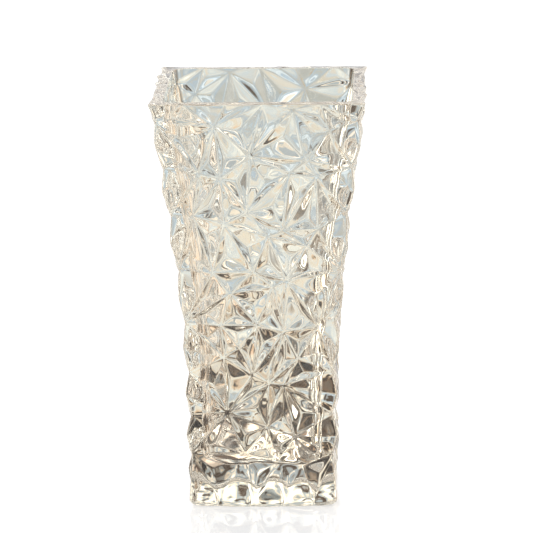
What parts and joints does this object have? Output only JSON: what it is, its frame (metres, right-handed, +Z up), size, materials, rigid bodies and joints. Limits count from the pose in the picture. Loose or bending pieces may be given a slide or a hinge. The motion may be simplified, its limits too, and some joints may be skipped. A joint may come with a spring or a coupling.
{
  "type": "vase",
  "caption": "Square flared vase in thick clear pressed crystal, with star-cut sides, beaded corners, a smooth tapered cavity and a solid glass foot.",
  "frame": {"origin": "centre of the flat underside, on the surface that the vase stands on", "axes": "+Z up from the foot to the rim; -Y out of the front wall; +X out of the right wall"},
  "size_m": [0.1286, 0.1286, 0.25],
  "materials": {
    "crystal": "clear fire-polished pressed crystal, cut-like facets with soft edges"
  },
  "bodies": {
    "root": {"base_block": "crystal", "wall_front": "crystal", "wall_right": "crystal", "wall_back": "crystal", "wall_left": "crystal"}
  },
  "joints": []
}
